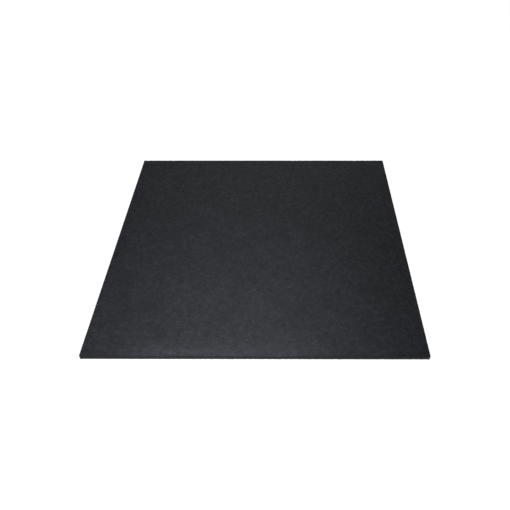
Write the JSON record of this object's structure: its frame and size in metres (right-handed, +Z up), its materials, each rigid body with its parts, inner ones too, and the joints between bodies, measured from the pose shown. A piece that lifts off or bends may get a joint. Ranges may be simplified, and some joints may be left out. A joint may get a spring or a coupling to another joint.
{
  "type": "rubber gym floor tile",
  "caption": "Flat square slab of pressed black crumb rubber that is laid edge to edge as a shock-absorbing gym floor.",
  "frame": {"origin": "centre of the underside, on the floor plane", "axes": "+Z up, square to the walking face; +X and +Y along the tile's sides"},
  "size_m": [1, 1, 0.015],
  "materials": {
    "crumb_rubber": "matte"
  },
  "bodies": {
    "root": {"rubber_tile": "crumb_rubber"}
  },
  "joints": []
}
